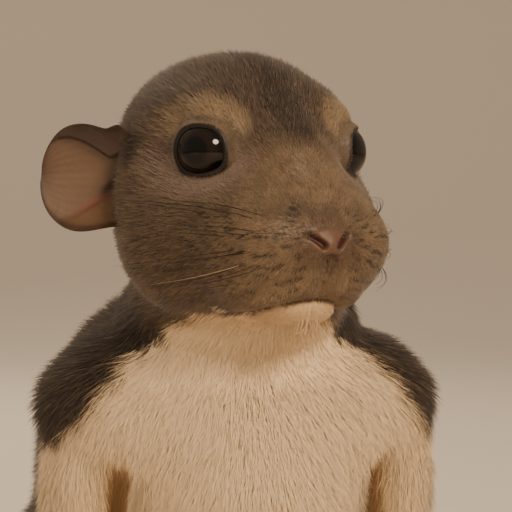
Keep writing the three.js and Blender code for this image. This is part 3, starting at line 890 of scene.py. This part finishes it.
def head_coat():
    face = smooth(-4, -22, in_head(CENTRE)[:, 1])
    roots = scatter((HEAD_DENSITY + MORE_ON_FACE * face) * ON_HEAD * (1 - bare_share(CENTRE)))
    root = roots[0]
    chance = random.random((2, len(root)))
    face = smooth(-2, -30, in_head(root)[:, 1])
    length = (HEAD_HAIR - FACE_SHORTER * face) * (1 - 0.45 * near_eye(root))
    length = length * (1 - 0.45 * lid_share(root, 1, 4))
    length = length * (0.8 + 0.4 * chance[0]) * MM
    width = (HEAD_WIDTH - FACE_THINNER * face) * MM
    lift = np.radians(20 + 14 * chance[1] - 6 * face)
    grow("coat_head", roots, (length, width, lift, 0.08), hair_tones(root))


def body_coat():
    front = smooth(40, 0, in_body(CENTRE)[:, 1])
    density = BODY_DENSITY + MORE_IN_FRONT * front + MORE_ON_FEET * foot_share(CENTRE)
    roots = scatter(density * ~ON_HEAD * ~ON_TAIL * (CENTRE[:, 2] > 0.6 * MM))
    root = roots[0]
    chance = random.random((2, len(root)))
    feet = foot_share(root)
    leg = foreleg_share(root) * smooth(75, 30, in_body(root)[:, 2])
    breast = breast_share(root)
    length = (BODY_HAIR - BREAST_SHORTER * breast - LEG_SHORTER * leg) * (1 - feet) + FOOT_HAIR * feet
    length = length * (1 - 0.45 * smooth(0, 0.5, head_share(root))) * (1 - 0.5 * arm_crease(root))
    length = length * (0.8 + 0.4 * chance[0]) * MM
    width = ((BODY_WIDTH - BREAST_THINNER * breast) * (1 - feet) + FOOT_WIDTH * feet) * MM
    lift = np.radians(33 - 14 * breast + 10 * chance[1] + 4 * ripple(root, 6, 1.0) - 8 * feet)
    grow("coat_body", roots, (length, width, lift, 0.06), hair_tones(root))


def tail_coat():
    roots = scatter(TAIL_DENSITY * ON_TAIL)
    root, normal, _ = roots
    chance = random.random((2, len(root)))
    along = beside_tail(root)[1]
    top = smooth(-0.4, 0.8, normal[:, 2])
    length = TAIL_HAIR + TAIL_TOP_LONGER * top - TAIL_ROOT_SHORTER * smooth(0.25, 0.0, along)
    length = length * (0.75 + 0.5 * chance[0]) * MM
    width = np.full(len(root), TAIL_WIDTH * MM)
    lift = np.radians(9 + 13 * top + 7 * chance[1])
    base, tip = hair_tones(root)
    dark_tip = mix(tip, NEARLY_BLACK, 0.35 * top)
    tones = [base, mix(base, tip, 0.6), dark_tip, dark_tip * 0.9]
    grow("coat_tail", roots, (length, width, lift, 0.12), tones)


head_coat()
body_coat()
tail_coat()


# Eyeballs

CORNEA_BULGE = 0.03  # as a share of the eyeball's radius

for word, _ in SIDES:
    made = bmesh.new()
    place = Matrix(EYE_AXES[word].T.tolist()).to_4x4()
    place.translation = Vector(EYES[word])
    bmesh.ops.create_uvsphere(made, u_segments=64, v_segments=40, radius=EYE_RADIUS, matrix=place)
    bmesh.ops.recalc_face_normals(made, faces=made.faces)
    mesh = mesh_from(made, f"eyeball_{word}")
    points = vertex_array(mesh)
    facing = unit(points - EYES[word]) @ EYE_AXES[word][2]
    # The cornea stands out a little.
    set_vertices(mesh, points + (points - EYES[word]) * (CORNEA_BULGE * smooth(0.6, 1.0, facing))[:, None])
    angle = np.degrees(np.arccos(np.clip(facing, -1, 1)))
    tint = mix(IRIS, PUPIL, smooth(28, 22, angle))
    store_colour(mesh, mix(tint, PUPIL * 1.5, smooth(38, 46, angle)))
    finish_piece(mesh, f"eyeball_{word}", EYE, [f"eye_{word}"])


# Ears

EAR_ROOT = np.array([22.6, 10.5, 1.7])  # in the head's axes, sunk into the head
EAR_OUT = unit(np.array([0.82, 0.56, 0.08]))
EAR_UP = np.array([-0.1, 0.0, 1.0])
EAR_UP = unit(EAR_UP - EAR_UP @ EAR_OUT * EAR_OUT)
EAR_FRONT = -np.cross(EAR_UP, EAR_OUT)
EAR_REACH = 22.3
EAR_THICKNESS = 1.1
EAR_ROWS, EAR_COLUMNS = 60, 70


def ear_flap(u, v):
    """1 on the front of the upper rim, which is folded down over the cup as far as a slanting edge."""
    edge = 0.36 + 0.86 * abs(u - 0.3)
    return smooth(0.0, 0.07, v - edge)


def above_crease(u, v):
    """How far v is above the crease that runs out from the ear's opening, below 0 under it."""
    return v - (-0.2 - 1.3 * (u - 0.25))


def ear_lobe(u, v):
    """1 on the lobe at the foot of the ear, under the crease."""
    return smooth(0.0, -0.08, above_crease(u, v)) * smooth(0.78, 0.6, u)


def ear_surface(u, v, layer):
    """A place on the left ear: u from root to rim, v from the lower to the upper edge, layer 1
    outside and -1 inside. The upper edge folds over to the front."""
    round_off = math.sqrt(max(0.0, 1 - max(0.0, (u - 0.3) / 0.705) ** 3))
    bend = 1.05 - 0.4 * smooth(0, 0.7, u)
    radius = max((13.0 + 1.2 * smooth(0, 0.6, u)) * round_off, 1.2) / bend
    fold = 3.2 * max(0.0, v - 0.45) ** 2 * math.sin(math.pi * min(1, u * 1.1))
    ledge = 1.7 * ear_flap(u, v) * smooth(0.95, 0.7, u) + 1.1 * ear_lobe(u, v)
    thick = radius + layer * EAR_THICKNESS / 2 * (1 - 0.45 * abs(v) ** 3) * (1 - 0.3 * u)
    p = EAR_ROOT + EAR_OUT * EAR_REACH * u + EAR_UP * (thick * math.sin(bend * v) - fold * 0.6)
    crease = 0.4 * math.sin(5 * v + 2 * u) + 0.15 * math.sin(17 * v + 5 * u)
    rise = radius - thick * math.cos(bend * v) + 2.5 * u * u + fold * 2 + crease * u * (1 - u)
    # The upper edge runs up into the crown.
    joined = 1.8 * smooth(0.34, 0.18, u) * smooth(0.04, 0.2, u) * smooth(0.3, 1.0, v)
    return p + EAR_FRONT * (rise + ledge) + EAR_UP * joined


def ear_colour(u, v, layer):
    edge = max(abs(v) ** 9, u ** 12) * 0.8
    if layer > 0:
        return mix(EAR_OUTSIDE, EAR_RIM, edge)
    streaks = 0.95 + 0.04 * math.sin(9 * v + 3 * u) + 0.1 * math.sin(43 * v + 9 * u) * u * u
    # The inside is painted darker towards the root, as shade deep in the cup.
    tint = mix(EAR_INSIDE * streaks, EAR_DEEP_SHADE, smooth(0.4, 0.1, u))
    flap = ear_flap(u, v)
    tint = mix(tint, EAR_OUTSIDE, flap)
    tint = mix(tint, EAR_LOBE, ear_lobe(u, v))
    # The crease is reddish, and the opening above its root is painted nearly black as the shade inside it.
    above = above_crease(u, v)
    crease = smooth(0.14, 0.03, abs(above - 0.04)) * smooth(0.68, 0.5, u)
    tint = mix(tint, EAR_CREASE, 0.85 * crease)
    opening = smooth(0.16, 0.04, abs(above - 0.13)) * smooth(0.42, 0.3, u)
    tint = mix(tint, NEARLY_BLACK, 0.8 * opening)
    # A dark band follows the flap's edge and the lower rim.
    band = 4 * flap * (1 - flap) + smooth(-0.8, -0.93, v) * 0.8
    tint = mix(tint, EAR_RIM, min(0.7, band))
    return mix(tint, EAR_RIM, edge)


for word, side in SIDES:
    made = bmesh.new()
    bmesh.ops.create_grid(made, x_segments=EAR_COLUMNS, y_segments=EAR_ROWS, size=1)
    bmesh.ops.solidify(made, geom=made.faces, thickness=0.1)
    tints = []
    for vertex in made.verts:
        v = vertex.co.x
        u = 1 - (1 - (vertex.co.y + 1) / 2) ** 1.7
        layer = 1 if vertex.co.z > 0.05 else -1
        vertex.co = Vector(from_head(ear_surface(u, v, layer) * [side, 1, 1]))
        tints.append(ear_colour(u, v, layer))
    bmesh.ops.recalc_face_normals(made, faces=made.faces)
    mesh = mesh_from(made, f"ear_cup_{word}")
    store_colour(mesh, np.array(tints))
    finish_piece(mesh, f"ear_cup_{word}", EAR, [f"ear_{word}"])


# Whiskers

WHISKERS = 24  # on each side
WHISKER_ROWS = 4
WHISKER_RADIUS = 0.09 * MM
HAIR_SIDES = 5


def whisker_line(root, way, out, length, steps=14):
    """A hair that leaves along out and bends over to the way it sweeps."""
    t = np.linspace(0, 1, steps)[:, None]
    bent = out * (0.34 * t - 0.26 * t * t) + way * (0.75 * t + 0.25 * t * t)
    return root + bent * length


def add_hair(made, line, radius):
    """A thin round hair along a line, tapering to its tip."""
    rings = []
    for i, at in enumerate(line):
        ahead = line[min(i + 1, len(line) - 1)] - line[max(i - 1, 0)]
        turn = Vector(ahead).to_track_quat("Z", "Y").to_matrix().to_4x4()
        girth = radius * (1 - 0.8 * i / (len(line) - 1))
        place = Matrix.Translation(Vector(at)) @ turn
        ends = i in (0, len(line) - 1)
        ring = bmesh.ops.create_circle(made, cap_ends=ends, segments=HAIR_SIDES, radius=girth, matrix=place)
        rings.append(ring["verts"])
    for one, other in zip(rings, rings[1:]):
        for k in range(HAIR_SIDES):
            after = (k + 1) % HAIR_SIDES
            made.faces.new((one[k], one[after], other[after], other[k]))


def whiskers():
    """Long stiff hairs from four rows on each whisker pad, swept back along the cheeks."""
    made = bmesh.new()
    shades = []
    head_points = in_head(skin_points)
    for _, side in SIDES:
        for number in range(WHISKERS):
            row, column = number % WHISKER_ROWS, number // WHISKER_ROWS
            chance = random.random(5)
            want = np.array([side * (9.0 + 2.1 * column + chance[0]), -99.0, -6.5 - 3.6 * row + chance[1]])
            front = np.hypot(head_points[:, 0] - want[0], head_points[:, 2] - want[2])
            front = np.where(head_points[:, 1] < 0, front, 99)
            nearest = np.argmin(front)
            normal = SKIN_NORMALS[nearest]
            way = unit(np.array([side * 0.5, 1.0, 0.06 - 0.11 * row + 0.1 * chance[2]])) @ HEAD_AXES
            out = unit(normal + 0.2 * way)
            length = (20 + 13 * chance[3] - 1.2 * row) * MM
            before = len(made.verts)
            add_hair(made, whisker_line(skin_points[nearest], way, out, length), WHISKER_RADIUS)
            tint = PALE_PATCH if chance[4] > 0.88 else NEARLY_BLACK * 0.6
            shades += [tint] * (len(made.verts) - before)
    bmesh.ops.recalc_face_normals(made, faces=made.faces)
    mesh = mesh_from(made, "whiskers")
    store_colour(mesh, np.array(shades))
    finish_piece(mesh, "whiskers", WHISKER)


whiskers()


# Claws, at the toes' ends, whose places follow from the same sizes as those of the solids

FOREPAW = {"heel": [25.5, -12], "ball": [23.5, -24], "width": 5.4, "toe": 1.75, "length": 9, "fan": 0.55}
HINDFOOT = {"heel": [38, 42], "ball": [35.5, 3.8], "width": 7.0, "toe": 2.3, "length": 14, "fan": 0.3}
CLAW_LENGTH = {"forepaw": 2.4, "hind_foot": 3.2}
CLAW_RADIUS, CLAW_TIP_RADIUS = 0.75 * MM, 0.12 * MM
CLAW_OFF_FLOOR = 0.2 * MM


def toe_ends(foot, side):
    """For each of a foot's four toes: the place of its end and the way it points, in the frame."""
    heel = np.array([foot["heel"][0] * side, foot["heel"][1]])
    ball = np.array([foot["ball"][0] * side, foot["ball"][1]])
    forward = unit(ball - heel)
    across = np.array([-forward[1], forward[0]])
    for spread in np.linspace(-0.5, 0.5, 4):
        length = foot["length"] * (1 - 0.9 * spread ** 2 - 0.12 * spread * side)
        aim = unit(forward - across * spread * foot["fan"])
        root = ball - across * spread * 2 * (foot["width"] - foot["toe"] * 0.7)
        end = root + aim * length * 0.92
        yield np.array([*end, foot["toe"] * 0.9]) * MM + ORIGIN, np.array([*aim, 0.0])


def claws(word, side, part, foot):
    made = bmesh.new()
    length = CLAW_LENGTH[part] * MM
    for end, aim in toe_ends(foot, side):
        turn = Vector(aim + [0, 0, -0.18]).to_track_quat("Z", "Y").to_matrix().to_4x4()
        place = Matrix.Translation(Vector(end + aim * length * 0.5)) @ turn
        cone = bmesh.ops.create_cone(made, cap_ends=True, segments=12, radius1=CLAW_RADIUS,
                                     radius2=CLAW_TIP_RADIUS, depth=length, matrix=place)
        for vertex in cone["verts"]:
            vertex.co.z = max(vertex.co.z, CLAW_OFF_FLOOR)
    mesh = mesh_from(made, f"claws_{part}_{word}")
    store_colour(mesh, np.tile(HORN, (len(mesh.vertices), 1)))
    finish_piece(mesh, f"claws_{part}_{word}", CLAW)


for word, side in SIDES:
    claws(word, side, "forepaw", FOREPAW)
    claws(word, side, "hind_foot", HINDFOOT)


# Floor, light and camera

SWEEP_START, SWEEP_RADIUS = 0.9, 0.8  # where the floor begins to rise behind the animal
FLOOR_COLOUR = (0.66, 0.60, 0.53)
WARM, WARMER = (1.0, 0.82, 0.62), (1.0, 0.78, 0.55)


def stage():
    """A plain pale floor that sweeps up behind the animal, and an even sky."""
    made = bmesh.new()
    bmesh.ops.create_grid(made, x_segments=2, y_segments=60, size=3)
    for vertex in made.verts:
        beyond = vertex.co.y - SWEEP_START
        if beyond > 0:
            angle = min(beyond / SWEEP_RADIUS, math.pi / 2)
            above = beyond - angle * SWEEP_RADIUS
            vertex.co.y = SWEEP_START + SWEEP_RADIUS * math.sin(angle)
            vertex.co.z = SWEEP_RADIUS * (1 - math.cos(angle)) + above
    mesh = mesh_from(made, "floor")
    mesh.polygons.foreach_set("use_smooth", [True] * len(mesh.polygons))
    floor = bpy.data.objects.new("floor", mesh)
    bpy.context.scene.collection.objects.link(floor)
    material = bpy.data.materials.new("floor")
    material.use_nodes = True
    shader = shader_of(material)
    shader.inputs["Base Color"].default_value = (*FLOOR_COLOUR, 1)
    shader.inputs["Roughness"].default_value = 0.9
    mesh.materials.append(material)
    world = bpy.data.worlds.new("room")
    bpy.context.scene.world = world
    world.use_nodes = True
    sky = world.node_tree.nodes["Background"]
    sky.inputs["Color"].default_value = (*WARM, 1)
    sky.inputs["Strength"].default_value = 0.5


LIT = Vector((0, -0.06, 0.1))  # what the lamps look at


def lamp(name, place, size, power, tint, reflected=True):
    data = bpy.data.lights.new(name, "AREA")
    data.shape = "DISK"
    data.size = size
    data.energy = power
    data.color = tint
    light = bpy.data.objects.new(name, data)
    bpy.context.scene.collection.objects.link(light)
    light.location = place
    light.rotation_euler = (LIT - Vector(place)).to_track_quat("-Z", "Y").to_euler()
    light.visible_glossy = reflected


# The photo's framing
CAMERA_TURN, CAMERA_RISE = -12, 2  # in degrees, round the head and up from level
CAMERA_DISTANCE = 0.42
AIM_RIGHT, AIM_DOWN = 2.6, 15.4  # millimetres from the head's middle to the picture's
PICTURE_PIXELS, FOCAL_PIXELS = 512, 1795
SENSOR_WIDTH = 36


def place_camera():
    data = bpy.data.cameras.new("camera")
    camera = bpy.data.objects.new("camera", data)
    bpy.context.scene.collection.objects.link(camera)
    azimuth, elevation = math.radians(CAMERA_TURN), math.radians(CAMERA_RISE)
    level = math.cos(elevation)
    away = Vector((math.sin(azimuth) * level, -math.cos(azimuth) * level, math.sin(elevation)))
    right = Vector((math.cos(azimuth), math.sin(azimuth), 0))
    aim = Vector(HEAD_AT) + right * AIM_RIGHT * MM - Vector((0, 0, AIM_DOWN * MM))
    camera.location = aim + away * CAMERA_DISTANCE
    camera.rotation_euler = (-away).to_track_quat("-Z", "Y").to_euler()
    data.lens = SENSOR_WIDTH * FOCAL_PIXELS / PICTURE_PIXELS
    data.clip_start = 0.01
    bpy.context.scene.camera = camera


stage()
lamp("key", (0.32, -0.85, 0.62), size=0.3, power=11.0, tint=WARMER)
lamp("fill", (-0.8, -0.55, 0.35), size=0.7, power=3.8, tint=WARM, reflected=False)
lamp("rim", (-0.2, 0.7, 0.65), size=0.5, power=4.5, tint=WARM, reflected=False)
place_camera()
